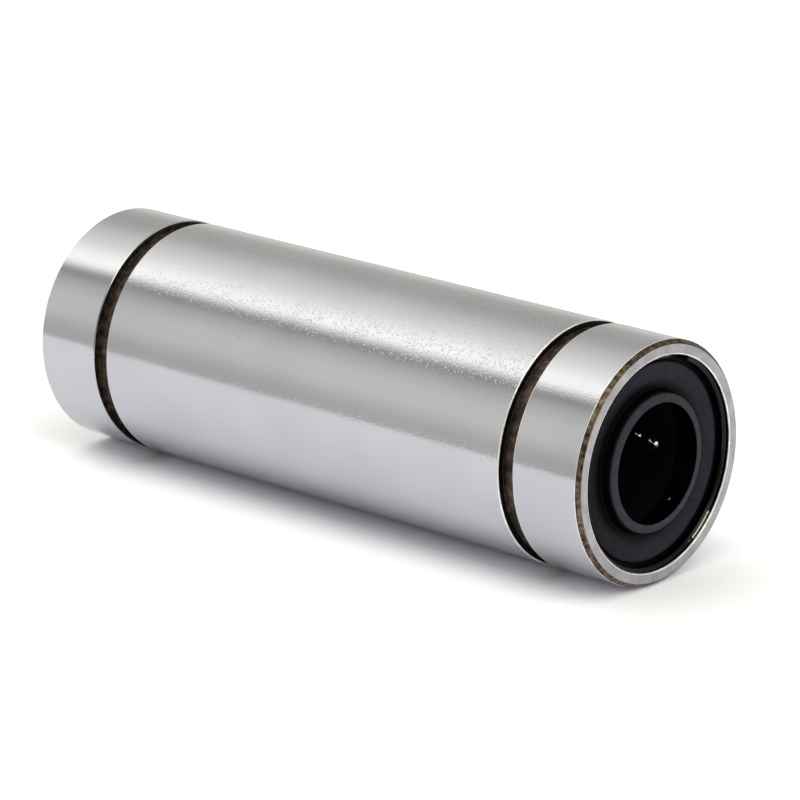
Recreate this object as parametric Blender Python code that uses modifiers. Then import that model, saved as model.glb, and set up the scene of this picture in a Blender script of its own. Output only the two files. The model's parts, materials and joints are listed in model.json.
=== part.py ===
"""Long closed linear ball bearing: a ground sleeve with two ball retainers in line.

The bearing lies on its side with its axis along X, and the origin is at the
middle of the bore. Each retainer guides four endless circuits of balls: a load
row that touches the shaft, a return row further out, and a half turn at each
end. A rubber seal and a wire ring close each end. Lengths are in metres.
"""
import math

import bmesh
import bpy
from mathutils import Matrix

MM = 0.001

# Main sizes of the bearing
SHAFT_DIAMETER = 8.0 * MM
OUTER_DIAMETER = 15.0 * MM
LENGTH = 45.0 * MM
BALL_DIAMETER = 1.588 * MM

# Outside of the sleeve
END_CHAMFER = 0.2 * MM
COLLAR_WIDTH = 5.0 * MM
GROOVE_WIDTH = 1.1 * MM
GROOVE_DEPTH = 0.35 * MM

# Inside of the sleeve, from the shaft outwards
RACEWAY_CLEARANCE = 0.02 * MM
RACEWAY_WIDTH = 3.4 * MM
RACEWAY_END_CLEARANCE = 0.06 * MM
RECESS_CLEARANCE = 0.1 * MM
TURN_RELIEF_STEP = 0.1 * MM
SHOULDER_STEP = 0.2 * MM

# Ball circuits
CIRCUITS_PER_RETAINER = 4
FIRST_LOAD_ROW_ANGLE = math.radians(0.0)
BALLS_PER_TURN = 3
CONTACT_OVERLAP = 0.04 * MM
GROUP_CLEARANCE = 0.05 * MM
CHANNEL_CLEARANCE = 0.05 * MM
CHANNEL_END_WALL = 0.65 * MM

# Retainer
RETAINER_BORE_CLEARANCE = 0.1 * MM
CHANNEL_FLOOR = 0.23 * MM
RETAINER_FIT = 0.1 * MM
RETAINER_GAP = 0.3 * MM
RETAINER_END_GAP = 0.2 * MM

# End seal, with depths measured in from the end of the sleeve
SEAL_FACE_DEPTH = 0.67 * MM
SEAL_THICKNESS = 1.23 * MM
SEAL_FIT = 0.05 * MM
SEAL_REBATE_WIDTH = 0.4 * MM
SEAL_REBATE_DEPTH = 0.13 * MM
SEAL_REBATE_SLOPE = 0.1 * MM
LIP_TIP_DEPTH = 0.12 * MM
LIP_INTERFERENCE = 0.3 * MM
LIP_WIDTH = 0.48 * MM
LIP_LAND = 0.15 * MM
LIP_FLARE = 0.45 * MM
LIP_SLOPE = 0.15 * MM
VALLEY_WIDTH = 0.4 * MM
VALLEY_DEPTH = 0.28 * MM
VALLEY_SLOPE = 0.2 * MM

# Steel stiffener moulded into the back of the seal
CORE_THICKNESS = 0.28 * MM
CORE_FIT = 0.04 * MM
CORE_INNER_COVER = 0.55 * MM
CORE_OUTER_COVER = 0.25 * MM

# Wire ring that holds each seal
WIRE_DIAMETER = 0.5 * MM
WIRE_FIT = 0.03 * MM
WIRE_SEAT_SHARE = 0.44
RING_GROOVE_WALL = 0.17 * MM
RING_GAP_MIDDLE = math.radians(72.0)
RING_GAP_ANGLE = math.radians(14.0)

# Facets
TURNED_STEPS = 32
OUTLINE_STEP = math.radians(12.0)
HALF_TURN_STEPS = 6
SLOT_STEPS = 8
SLOT_END_STEPS = 2
WIRE_STEP = math.radians(18.0)
WIRE_BEVEL_RESOLUTION = 1
BALL_STEPS = 6
BALL_RINGS = 4
SHARP_ANGLE = math.radians(30.0)
WELD_DISTANCE = 0.0005 * MM
CUT_MARGIN = 1.0 * MM

# Radii that follow from the sizes above
SHAFT_RADIUS = SHAFT_DIAMETER / 2
OUTER_RADIUS = OUTER_DIAMETER / 2
BALL_RADIUS = BALL_DIAMETER / 2
WIRE_RADIUS = WIRE_DIAMETER / 2
BALL_PITCH = BALL_DIAMETER - CONTACT_OVERLAP
TURN_STEP = math.pi / BALLS_PER_TURN
TURN_RADIUS = BALL_PITCH / (2 * math.sin(TURN_STEP / 2))
LOAD_ROW_RADIUS = SHAFT_RADIUS + BALL_RADIUS
LOAD_ROW_HEIGHT = math.sqrt(LOAD_ROW_RADIUS ** 2 - TURN_RADIUS ** 2)
RETAINER_BORE_RADIUS = SHAFT_RADIUS + RETAINER_BORE_CLEARANCE
CHANNEL_FLOOR_HEIGHT = RETAINER_BORE_RADIUS + CHANNEL_FLOOR
RETURN_ROW_HEIGHT = CHANNEL_FLOOR_HEIGHT + CHANNEL_CLEARANCE + BALL_RADIUS
RETURN_ROW_RADIUS = math.hypot(RETURN_ROW_HEIGHT, TURN_RADIUS)
RACEWAY_RADIUS = LOAD_ROW_RADIUS + BALL_RADIUS + RACEWAY_CLEARANCE
RECESS_RADIUS = RETURN_ROW_RADIUS + BALL_RADIUS + RECESS_CLEARANCE
TURN_RELIEF_RADIUS = RECESS_RADIUS + TURN_RELIEF_STEP
SEAL_SEAT_RADIUS = TURN_RELIEF_RADIUS + SHOULDER_STEP
RETAINER_RADIUS = RECESS_RADIUS - RETAINER_FIT
RETAINER_FLAT_RADIUS = RACEWAY_RADIUS - RETAINER_FIT
CHANNEL_HALF_WIDTH = BALL_RADIUS + CHANNEL_CLEARANCE
RACEWAY_HALF_ANGLE = math.asin(RACEWAY_WIDTH / 2 / RACEWAY_RADIUS)
RETAINER_FIT_ANGLE = RETAINER_FIT / RACEWAY_RADIUS

# Places along the bearing that follow from the sizes above
HALF_LENGTH = LENGTH / 2
SEAL_BACK_DEPTH = SEAL_FACE_DEPTH + SEAL_THICKNESS
SHOULDER_DEPTH = SEAL_BACK_DEPTH + SEAL_FIT
RETAINER_OUTER_END = HALF_LENGTH - SEAL_BACK_DEPTH - RETAINER_END_GAP
RETAINER_LENGTH = RETAINER_OUTER_END - RETAINER_GAP / 2
CIRCUIT_MIDDLE = RETAINER_OUTER_END - RETAINER_LENGTH / 2
CIRCUIT_REACH = TURN_RADIUS + CHANNEL_HALF_WIDTH
STRAIGHT_ROOM = RETAINER_LENGTH - 2 * (CHANNEL_END_WALL + CIRCUIT_REACH)
# The balls travel half a turn step either way. At the end of that travel the last
# ball of a straight row and the first ball of the turn are closest to each other.
TRAVEL = TURN_RADIUS * TURN_STEP / 2
CLOSEST_SIDEWAYS = TURN_RADIUS * (1 - math.cos(TURN_STEP))
CLOSEST_LENGTHWISE = math.sqrt(BALL_DIAMETER ** 2 - CLOSEST_SIDEWAYS ** 2)
ROW_END_GAP = TRAVEL + CLOSEST_LENGTHWISE - TURN_RADIUS * math.sin(TURN_STEP) + GROUP_CLEARANCE
BALLS_PER_ROW = int((STRAIGHT_ROOM - 2 * ROW_END_GAP) / BALL_PITCH) + 1
STRAIGHT_LENGTH = (BALLS_PER_ROW - 1) * BALL_PITCH + 2 * ROW_END_GAP
RACEWAY_HALF_LENGTH = STRAIGHT_LENGTH / 2 - BALL_RADIUS - RACEWAY_END_CLEARANCE
RING_DEPTH = RING_GROOVE_WALL + WIRE_FIT + WIRE_RADIUS
RING_RADIUS = SEAL_SEAT_RADIUS - (0.5 - WIRE_SEAT_SHARE) * WIRE_DIAMETER

# Turns a shape drawn around or along Z so that its axis lies along X
ALONG_X = Matrix(((0, 0, 1, 0), (1, 0, 0, 0), (0, 1, 0, 0), (0, 0, 0, 1)))
# Turns a piece made for the front end round to the rear end
ENDS = {"front": Matrix.Identity(4), "rear": Matrix.Rotation(math.pi, 4, "Z")}


def clear_scene():
    """Remove every object that the file opened with."""
    for obj in list(bpy.data.objects):
        bpy.data.objects.remove(obj, do_unlink=True)


def new_collection(name):
    """Make a collection of the scene."""
    collection = bpy.data.collections.new(name)
    bpy.context.scene.collection.children.link(collection)
    return collection


def new_material(name, colour, roughness, metallic):
    """Make a Principled material from a linear colour and two surface values."""
    material = bpy.data.materials.new(name)
    material.use_nodes = True
    shader = material.node_tree.nodes["Principled BSDF"]
    shader.inputs["Base Color"].default_value = (*colour, 1.0)
    shader.inputs["Roughness"].default_value = roughness
    shader.inputs["Metallic"].default_value = metallic
    return material


def add_object(name, data, collection, place=None):
    """Put a mesh or a curve into a collection at a place."""
    obj = bpy.data.objects.new(name, data)
    collection.objects.link(obj)
    if place is not None:
        obj.matrix_world = place
    return obj


def evaluated_mesh(obj, name):
    """Return a welded mesh of an object with its modifiers or its curve bevel."""
    depsgraph = bpy.context.evaluated_depsgraph_get()
    mesh = bpy.data.meshes.new_from_object(obj.evaluated_get(depsgraph))
    mesh.name = name
    shape = bmesh.new()
    shape.from_mesh(mesh)
    bmesh.ops.remove_doubles(shape, verts=shape.verts, dist=WELD_DISTANCE)
    shape.to_mesh(mesh)
    shape.free()
    return mesh


def curve_to_mesh(obj, collection):
    """Replace a curve object by a mesh object of the same name and place."""
    mesh = evaluated_mesh(obj, obj.name)
    name = obj.name
    place = obj.matrix_world.copy()
    bpy.data.objects.remove(obj, do_unlink=True)
    return add_object(name, mesh, collection, place)


def make_cutter(obj):
    """Show a cutter as a wire and keep it out of the finished part."""
    obj.hide_render = True
    obj.display_type = "WIRE"
    return obj


def cut(target, cutter):
    """Take the cutter's solid away from the target."""
    modifier = target.modifiers.new("cut_" + cutter.name, "BOOLEAN")
    modifier.operation = "DIFFERENCE"
    modifier.solver = "EXACT"
    modifier.object = cutter


def smooth(mesh):
    """Shade round faces smooth and keep real edges sharp."""
    mesh.shade_smooth()
    mesh.set_sharp_from_angle(angle=SHARP_ANGLE)


def turned(name, profile, collection, place=None, steps=TURNED_STEPS, closed=True, true_flats=True):
    """Turn a profile of (radius, position along the axis) points about the X axis.

    The points run down the outer side, from the +X end to the -X end, and back
    along the inner side. The radius given is that of the middle of each flat, or
    of the edges between the flats where true_flats is off.
    """
    flat_scale = 1 / math.cos(math.pi / steps) if true_flats else 1.0
    points = [(radius * flat_scale, 0.0, along) for radius, along in profile]
    edges = [(index, index + 1) for index in range(len(points) - 1)]
    if closed:
        edges.append((len(points) - 1, 0))
    mesh = bpy.data.meshes.new(name)
    mesh.from_pydata(points, edges, [])
    half_step = Matrix.Rotation(math.pi / steps, 4, "Z")
    obj = add_object(name, mesh, collection, (place or Matrix.Identity(4)) @ ALONG_X @ half_step)
    screw = obj.modifiers.new("turn", "SCREW")
    screw.axis = "Z"
    screw.angle = math.tau
    screw.steps = steps
    screw.render_steps = steps
    screw.use_merge_vertices = True
    screw.merge_threshold = WELD_DISTANCE
    screw.use_smooth_shade = True
    return obj


def prism(name, loops, low, high, collection, place):
    """Extrude flat closed outlines from low to high along the local Z axis."""
    curve = bpy.data.curves.new(name, "CURVE")
    curve.dimensions = "2D"
    curve.fill_mode = "BOTH"
    curve.extrude = (high - low) / 2
    for loop in loops:
        spline = curve.splines.new("POLY")
        spline.points.add(len(loop) - 1)
        for point, (x, y) in zip(spline.points, loop):
            point.co = (x, y, 0.0, 1.0)
        spline.use_cyclic_u = True
    middle = Matrix.Translation((0, 0, (low + high) / 2))
    obj = add_object(name, curve, collection, place @ middle)
    bpy.context.view_layer.update()
    return curve_to_mesh(obj, collection)


def arc(radius, start, end, steps, centre=(0.0, 0.0)):
    """Points on a circular arc, both ends included."""
    angles = [start + (end - start) * index / steps for index in range(steps + 1)]
    return [(centre[0] + radius * math.cos(a), centre[1] + radius * math.sin(a)) for a in angles]


def stadium(half_length, radius):
    """Outline of two half circles joined by straight sides along X."""
    right = arc(radius, -math.pi / 2, math.pi / 2, HALF_TURN_STEPS, (half_length, 0.0))
    left = arc(radius, math.pi / 2, 3 * math.pi / 2, HALF_TURN_STEPS, (-half_length, 0.0))
    return right + left


def stepped_circle(low_radius, high_radius, low_half_angle):
    """Circle of the high radius that drops to the low radius around each load row."""
    outline = []
    sector = math.tau / CIRCUITS_PER_RETAINER
    for index in range(CIRCUITS_PER_RETAINER):
        middle = FIRST_LOAD_ROW_ANGLE + index * sector
        low_steps = math.ceil(2 * low_half_angle / OUTLINE_STEP)
        high_steps = math.ceil((sector - 2 * low_half_angle) / OUTLINE_STEP)
        low_end = middle + low_half_angle
        outline += arc(low_radius, middle - low_half_angle, low_end, low_steps)
        outline += arc(high_radius, low_end, middle + sector - low_half_angle, high_steps)
    return outline


def circuit_place(index):
    """Frame of a circuit of the front retainer.

    Its X runs along the bearing, its Z points outwards through the middle of the
    circuit, and the load row lies on its +Y side.
    """
    load_angle = FIRST_LOAD_ROW_ANGLE + index * math.tau / CIRCUITS_PER_RETAINER
    middle_angle = load_angle + math.atan2(TURN_RADIUS, LOAD_ROW_HEIGHT)
    turn = Matrix.Rotation(middle_angle - math.pi / 2, 4, "X")
    return Matrix.Translation((CIRCUIT_MIDDLE, 0, 0)) @ turn


def half_sleeve_outside():
    """Outer profile from the front end to the middle: chamfer, collar and groove."""
    groove_front = HALF_LENGTH - COLLAR_WIDTH
    groove_rear = groove_front - GROOVE_WIDTH
    groove_floor = OUTER_RADIUS - GROOVE_DEPTH
    return [
        (OUTER_RADIUS - END_CHAMFER, HALF_LENGTH),
        (OUTER_RADIUS, HALF_LENGTH - END_CHAMFER),
        (OUTER_RADIUS, groove_front),
        (groove_floor, groove_front),
        (groove_floor, groove_rear),
        (OUTER_RADIUS, groove_rear),
    ]


def half_sleeve_inside():
    """Bore profile from the middle to the front end: raceway, shoulder and ring groove."""
    ring_groove_front = HALF_LENGTH - RING_GROOVE_WALL
    ring_groove_rear = ring_groove_front - WIRE_DIAMETER - 2 * WIRE_FIT
    ring_groove_floor = RING_RADIUS + WIRE_RADIUS + WIRE_FIT
    shoulder = HALF_LENGTH - SHOULDER_DEPTH
    return [
        (TURN_RELIEF_RADIUS, CIRCUIT_MIDDLE - RACEWAY_HALF_LENGTH),
        (RACEWAY_RADIUS, CIRCUIT_MIDDLE - RACEWAY_HALF_LENGTH),
        (RACEWAY_RADIUS, CIRCUIT_MIDDLE + RACEWAY_HALF_LENGTH),
        (TURN_RELIEF_RADIUS, CIRCUIT_MIDDLE + RACEWAY_HALF_LENGTH),
        (TURN_RELIEF_RADIUS, shoulder),
        (SEAL_SEAT_RADIUS, shoulder),
        (SEAL_SEAT_RADIUS, ring_groove_rear),
        (ring_groove_floor, ring_groove_rear),
        (ring_groove_floor, ring_groove_front),
        (SEAL_SEAT_RADIUS, ring_groove_front),
        (SEAL_SEAT_RADIUS, HALF_LENGTH),
    ]


def mirrored(profile):
    """The same points at the other end, in the opposite order."""
    return [(radius, -along) for radius, along in reversed(profile)]


def make_sleeve(parts, cutters, material):
    """Hardened sleeve with two bands of four raceway lands in its bore."""
    outside = half_sleeve_outside()
    inside = half_sleeve_inside()
    profile = outside + mirrored(outside) + mirrored(inside) + inside
    sleeve = turned("outer_sleeve", profile, parts)
    sleeve.data.materials.append(material)
    keyway = stepped_circle(RACEWAY_RADIUS - CUT_MARGIN, RECESS_RADIUS, RACEWAY_HALF_ANGLE)
    reach = CIRCUIT_MIDDLE + RACEWAY_HALF_LENGTH + CUT_MARGIN
    recess = prism("recess_cutter", [keyway], -reach, reach, cutters, ALONG_X)
    cut(sleeve, make_cutter(recess))


def channel_cutters(index, cutters):
    """Race-track channel of one circuit and the slot that bares its load row."""
    place = circuit_place(index)
    half = STRAIGHT_LENGTH / 2
    loops = [
        stadium(half, TURN_RADIUS + CHANNEL_HALF_WIDTH),
        stadium(half, TURN_RADIUS - CHANNEL_HALF_WIDTH),
    ]
    top = RECESS_RADIUS + CUT_MARGIN
    channel = prism(f"channel_cutter_{index + 1}", loops, CHANNEL_FLOOR_HEIGHT, top, cutters, place)
    upper_end = arc(CHANNEL_HALF_WIDTH, 0.0, math.pi / 2, SLOT_END_STEPS, (half, 0.0))
    upper = [(radius, along) for along, radius in upper_end]
    upper[0] = (0.0, upper[0][1])
    capsule = upper + mirrored(upper)
    row = place @ Matrix.Translation((0, TURN_RADIUS, LOAD_ROW_HEIGHT))
    slot = turned(f"slot_cutter_{index + 1}", capsule, cutters, row, SLOT_STEPS, closed=False)
    return [make_cutter(channel), make_cutter(slot)]


def make_retainers(parts, cutters, material):
    """Two alike resin retainers, keyed between the raceway lands of the sleeve."""
    outside = stepped_circle(
        RETAINER_FLAT_RADIUS, RETAINER_RADIUS, RACEWAY_HALF_ANGLE + RETAINER_FIT_ANGLE
    )
    bore = arc(RETAINER_BORE_RADIUS, 0.0, math.tau, TURNED_STEPS)[:-1]
    low = RETAINER_OUTER_END - RETAINER_LENGTH
    blank = prism("retainer_blank", [outside, bore], low, RETAINER_OUTER_END, cutters, ALONG_X)
    for index in range(CIRCUITS_PER_RETAINER):
        for cutter in channel_cutters(index, cutters):
            cut(blank, cutter)
    bpy.context.view_layer.update()
    mesh = evaluated_mesh(blank, "retainer")
    smooth(mesh)
    mesh.materials.clear()
    mesh.materials.append(material)
    for end, turn in ENDS.items():
        add_object(f"{end}_retainer", mesh, parts, turn @ blank.matrix_world)
    bpy.data.objects.remove(blank, do_unlink=True)


def ball_row_mesh(collection):
    """Straight row of touching balls along X, joined where they touch."""
    contact_angle = math.acos(BALL_PITCH / BALL_DIAMETER)
    first = (BALLS_PER_ROW - 1) * BALL_PITCH / 2
    profile = []
    for index in range(BALLS_PER_ROW):
        centre = first - index * BALL_PITCH
        start = 0.0 if index == 0 else contact_angle
        end = math.pi if index == BALLS_PER_ROW - 1 else math.pi - contact_angle
        middle = [math.pi * ring / BALL_RINGS for ring in range(1, BALL_RINGS)]
        angles = ([start] if index == 0 else []) + middle + [end]
        profile += [(BALL_RADIUS * math.sin(a), centre + BALL_RADIUS * math.cos(a)) for a in angles]
    profile[0] = (0.0, profile[0][1])
    profile[-1] = (0.0, profile[-1][1])
    blank = turned("ball_row", profile, collection, None, BALL_STEPS, closed=False, true_flats=False)
    bpy.context.view_layer.update()
    mesh = evaluated_mesh(blank, "ball_row")
    mesh.transform(blank.matrix_world)
    bpy.data.objects.remove(blank, do_unlink=True)
    return mesh


def ball_turn_mesh(collection):
    """Balls of a half turn about Z, joined where they touch, open towards -X."""
    balls = []
    for count in range(BALLS_PER_TURN):
        angle = math.pi / 2 - (count + 0.5) * TURN_STEP
        shape = bmesh.new()
        bmesh.ops.create_uvsphere(
            shape,
            u_segments=BALL_STEPS,
            v_segments=BALL_RINGS,
            radius=BALL_RADIUS,
            matrix=Matrix.Rotation(angle, 4, "Z")
            @ Matrix.Translation((TURN_RADIUS, 0, 0))
            @ Matrix.Rotation(-math.pi / 2, 4, "Z"),
        )
        mesh = bpy.data.meshes.new(f"turn_ball_{count + 1}")
        shape.to_mesh(mesh)
        shape.free()
        balls.append(make_cutter(add_object(mesh.name, mesh, collection)))
    for ball in balls[1:]:
        union = balls[0].modifiers.new("join_" + ball.name, "BOOLEAN")
        union.operation = "UNION"
        union.solver = "EXACT"
        union.object = ball
    bpy.context.view_layer.update()
    mesh = evaluated_mesh(balls[0], "ball_turn")
    for ball in balls:
        bpy.data.objects.remove(ball, do_unlink=True)
    return mesh


def make_circuits(parts, cutters, material):
    """Balls of every circuit: a load row, a return row and two half turns.

    Each group hangs on its circuit's empty. A half turn has its origin on the
    axis that it swings about.
    """
    row_mesh = ball_row_mesh(cutters)
    turn_mesh = ball_turn_mesh(cutters)
    for mesh in (row_mesh, turn_mesh):
        mesh.shade_smooth()
        mesh.materials.append(material)
    load_tilt = math.pi / 2 - math.atan2(TURN_RADIUS, LOAD_ROW_HEIGHT)
    return_tilt = math.pi / 2 + math.atan2(TURN_RADIUS, RETURN_ROW_HEIGHT)
    half = STRAIGHT_LENGTH / 2
    groups = {
        "load": (row_mesh, (0, TURN_RADIUS, LOAD_ROW_HEIGHT), load_tilt, "X"),
        "return": (row_mesh, (0, -TURN_RADIUS, RETURN_ROW_HEIGHT), return_tilt, "X"),
        "outer_turn": (turn_mesh, (half, 0, RETURN_ROW_HEIGHT), 0.0, "Z"),
        "inner_turn": (turn_mesh, (-half, 0, RETURN_ROW_HEIGHT), math.pi, "Z"),
    }
    for end, turn in ENDS.items():
        for index in range(CIRCUITS_PER_RETAINER):
            place = turn @ circuit_place(index)
            circuit = add_object(f"{end}_circuit_{index + 1}", None, parts, place)
            for group, (mesh, centre, angle, axis) in groups.items():
                balls = add_object(f"{end}_{group}_balls_{index + 1}", mesh, parts)
                balls.parent = circuit
                balls.matrix_local = Matrix.Translation(centre) @ Matrix.Rotation(angle, 4, axis)


def seal_profile():
    """Seal section: outer rebate, flat face, valley, raised lip and core recess."""
    face = HALF_LENGTH - SEAL_FACE_DEPTH
    back = HALF_LENGTH - SEAL_BACK_DEPTH
    tip = HALF_LENGTH - LIP_TIP_DEPTH
    rim = SEAL_SEAT_RADIUS - SEAL_FIT
    lip_inner = SHAFT_RADIUS - LIP_INTERFERENCE
    lip_outer = lip_inner + LIP_WIDTH
    inner_back = lip_inner + LIP_FLARE
    valley_inner = lip_outer + LIP_SLOPE
    valley_outer = valley_inner + VALLEY_WIDTH
    core_inner = inner_back + CORE_INNER_COVER
    core_outer = rim - CORE_OUTER_COVER
    core_front = back + CORE_THICKNESS + 2 * CORE_FIT
    return [
        (rim - SEAL_REBATE_WIDTH - SEAL_REBATE_SLOPE, face),
        (rim - SEAL_REBATE_WIDTH, face - SEAL_REBATE_DEPTH),
        (rim, face - SEAL_REBATE_DEPTH),
        (rim, back),
        (core_outer, back),
        (core_outer, core_front),
        (core_inner, core_front),
        (core_inner, back),
        (inner_back, back),
        (lip_inner, tip - LIP_LAND),
        (lip_inner, tip),
        (lip_outer, tip),
        (valley_inner, face - VALLEY_DEPTH),
        (valley_outer, face - VALLEY_DEPTH),
        (valley_outer + VALLEY_SLOPE, face),
    ]


def core_profile():
    """Flat steel washer that fills the recess in the back of the seal."""
    back = HALF_LENGTH - SEAL_BACK_DEPTH + CORE_FIT
    inner = SHAFT_RADIUS - LIP_INTERFERENCE + LIP_FLARE + CORE_INNER_COVER + CORE_FIT
    outer = SEAL_SEAT_RADIUS - SEAL_FIT - CORE_OUTER_COVER - CORE_FIT
    return [
        (outer, back + CORE_THICKNESS),
        (outer, back),
        (inner, back),
        (inner, back + CORE_THICKNESS),
    ]


def make_end_pieces(parts, materials):
    """Seal, stiffener and wire ring at each end, the rear ones turned round."""
    for end, turn in ENDS.items():
        seal = turned(f"{end}_seal", seal_profile(), parts, turn)
        seal.data.materials.append(materials["rubber"])
        core = turned(f"{end}_seal_core", core_profile(), parts, turn)
        core.data.materials.append(materials["core"])
        make_wire_ring(f"{end}_wire_ring", parts, turn, materials["wire"])


def make_wire_ring(name, parts, turn, material):
    """Open ring of round wire that snaps into its groove near the end."""
    curve = bpy.data.curves.new(name, "CURVE")
    curve.dimensions = "3D"
    curve.bevel_depth = WIRE_RADIUS
    curve.bevel_resolution = WIRE_BEVEL_RESOLUTION
    curve.use_fill_caps = True
    start = RING_GAP_MIDDLE + RING_GAP_ANGLE / 2
    sweep = math.tau - RING_GAP_ANGLE
    points = arc(RING_RADIUS, start, start + sweep, math.ceil(sweep / WIRE_STEP))
    spline = curve.splines.new("POLY")
    spline.points.add(len(points) - 1)
    for point, (x, y) in zip(spline.points, points):
        point.co = (x, y, 0.0, 1.0)
    place = turn @ Matrix.Translation((HALF_LENGTH - RING_DEPTH, 0, 0)) @ ALONG_X
    ring = add_object(name, curve, parts, place)
    bpy.context.view_layer.update()
    ring = curve_to_mesh(ring, parts)
    smooth(ring.data)
    ring.data.materials.append(material)


def build():
    """Make the whole bearing."""
    clear_scene()
    parts = new_collection("linear_ball_bearing")
    cutters = new_collection("cutters")
    materials = {
        "sleeve": new_material("ground_bearing_steel", (0.56, 0.56, 0.57), 0.22, 1.0),
        "resin": new_material("retainer_resin", (0.02, 0.02, 0.022), 0.5, 0.0),
        "rubber": new_material("seal_rubber", (0.03, 0.03, 0.036), 0.6, 0.0),
        "core": new_material("stiffener_steel", (0.45, 0.45, 0.46), 0.4, 1.0),
        "wire": new_material("spring_wire", (0.25, 0.24, 0.24), 0.3, 1.0),
        "ball": new_material("ball_steel", (0.7, 0.7, 0.72), 0.1, 1.0),
    }
    make_sleeve(parts, cutters, materials["sleeve"])
    make_retainers(parts, cutters, materials["resin"])
    make_circuits(parts, cutters, materials["ball"])
    make_end_pieces(parts, materials)
    bpy.context.view_layer.update()


build()
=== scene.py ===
"""Finished look of the long closed linear ball bearing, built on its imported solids.

The bearing lies on its side with its axis along X, its origin at the middle of the
bore and +Z up. Lengths are in metres. A turned piece is an outline of (place along X,
radius) points carried round the X axis.
"""
import json
import math

import bpy
import numpy as np
from mathutils import Matrix, Vector


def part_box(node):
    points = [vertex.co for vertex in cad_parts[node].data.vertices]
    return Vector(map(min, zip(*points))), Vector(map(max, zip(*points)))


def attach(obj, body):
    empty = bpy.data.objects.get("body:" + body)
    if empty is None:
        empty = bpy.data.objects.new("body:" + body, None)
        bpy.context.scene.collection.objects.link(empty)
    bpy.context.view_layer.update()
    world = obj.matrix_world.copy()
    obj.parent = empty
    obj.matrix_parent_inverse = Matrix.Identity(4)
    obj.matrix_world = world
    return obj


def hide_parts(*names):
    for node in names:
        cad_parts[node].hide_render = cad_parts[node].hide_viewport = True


MM = 0.001
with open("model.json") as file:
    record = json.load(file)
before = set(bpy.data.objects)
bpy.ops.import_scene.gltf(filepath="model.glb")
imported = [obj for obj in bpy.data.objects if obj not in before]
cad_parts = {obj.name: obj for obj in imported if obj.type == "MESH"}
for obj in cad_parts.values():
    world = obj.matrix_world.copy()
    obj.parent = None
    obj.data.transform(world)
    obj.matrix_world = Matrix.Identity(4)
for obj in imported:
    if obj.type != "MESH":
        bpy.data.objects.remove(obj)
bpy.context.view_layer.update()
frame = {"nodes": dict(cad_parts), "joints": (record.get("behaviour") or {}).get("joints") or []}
FIXED_BODY = "bearing_body"

# Sizes of the sleeve, the first two from the frame
HALF_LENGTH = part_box("outer_sleeve")[1].x
OUTER_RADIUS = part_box("outer_sleeve")[1].z
END_CHAMFER = 0.26 * MM
COLLAR_WIDTH = 5.0 * MM
GROOVE_WIDTH = 1.1 * MM
GROOVE_DEPTH = 0.45 * MM
SEAL_SEAT_RADIUS = 6.595 * MM
RELIEF_RADIUS = 6.395 * MM
RECESS_RADIUS = 6.295 * MM
RACEWAY_RADIUS = 5.608 * MM
RACEWAY_HALF_ANGLE = math.radians(17.65)
RACEWAY_MIDDLE = 10.275 * MM
RACEWAY_HALF_LENGTH = 5.47 * MM
SHOULDER_DEPTH = 1.95 * MM

# Roundings of the sleeve's corners
CHAMFER_EDGE_ROUNDING = 0.05 * MM
REAR_CHAMFER_ROUNDING = 0.10 * MM
GROOVE_EDGE_ROUNDING = 0.07 * MM
SEAT_EDGE_ROUNDING = 0.08 * MM
RING_GROOVE_ROUNDING = 0.10 * MM
INNER_ROUNDING = 0.04 * MM
SHOULDER_ROUNDING = 0.03 * MM
FINE_ROUNDING = 0.02 * MM

# Wire ring and its groove, with depths measured in from the end face
RING_GROOVE_WALL = 0.17 * MM
RING_GROOVE_WIDTH = 0.56 * MM
RING_GROOVE_RADIUS = 6.845 * MM
WIRE_RADIUS = 0.25 * MM
RING_RADIUS = 6.565 * MM
RING_DEPTH = 0.45 * MM
RING_GAP_MIDDLE = math.radians(72.0)
RING_GAP_ANGLE = math.radians(14.0)

# Stretch of the wire with a painted highlight, by the angle from +Y toward +Z
GLINT_ANGLE = math.radians(-50.0)
GLINT_HALF_ANGLE = math.radians(10.0)

# End seal, with depths measured in from the end face
SEAL_FACE_DEPTH = 0.67 * MM
SEAL_BACK_DEPTH = 1.90 * MM
SEAL_REBATE_DEPTH = 0.80 * MM
SEAL_RADIUS = 6.545 * MM
SEAL_FACE_RADIUS = 6.045 * MM
LIP_TIP_DEPTH = 0.12 * MM
LIP_LAND = 0.15 * MM
LIP_INNER_RADIUS = 3.70 * MM
LIP_OUTER_RADIUS = 4.22 * MM
LIP_BACK_RADIUS = 4.15 * MM
LIP_SLOPE = 0.13 * MM
VALLEY_DEPTH = 0.95 * MM
VALLEY_RADIUS = 4.40 * MM
DISH_RADIUS = 5.45 * MM
CORE_INNER_RADIUS = 4.70 * MM
CORE_OUTER_RADIUS = 6.295 * MM
CORE_RECESS_DEPTH = 1.54 * MM
REBATE_SLOPE = 0.10 * MM
FACE_EDGE_ROUNDING = 0.06 * MM
REBATE_ROUNDING = 0.04 * MM
SEAL_EDGE_ROUNDING = 0.05 * MM
LIP_EDGE_ROUNDING = 0.08 * MM
VALLEY_ROUNDING = 0.15 * MM
DISH_ROUNDING = 2.4 * MM

# Tone of the seal's rubber by radius in mm, and how far noise frays it as a share of
# the seal's radius
# The near-black stops round the lip's valley and at the outer edge by the rim are painted shade
RUBBER_TONES_AND_SHADE = [
    (3.80, "#3D3C45"), (4.20, "#3A3942"), (4.26, "#020203"), (4.55, "#030304"), (5.05, "#292830"),
    (5.90, "#2F2E38"), (6.15, "#08080A"),
]
RUBBER_FRAY = 0.012

# Bore of the retainers, and how far past its radius a wall still counts as the bore's
RETAINER_BORE_RADIUS = 4.10 * MM
BORE_MARGIN = 0.005 * MM
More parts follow.
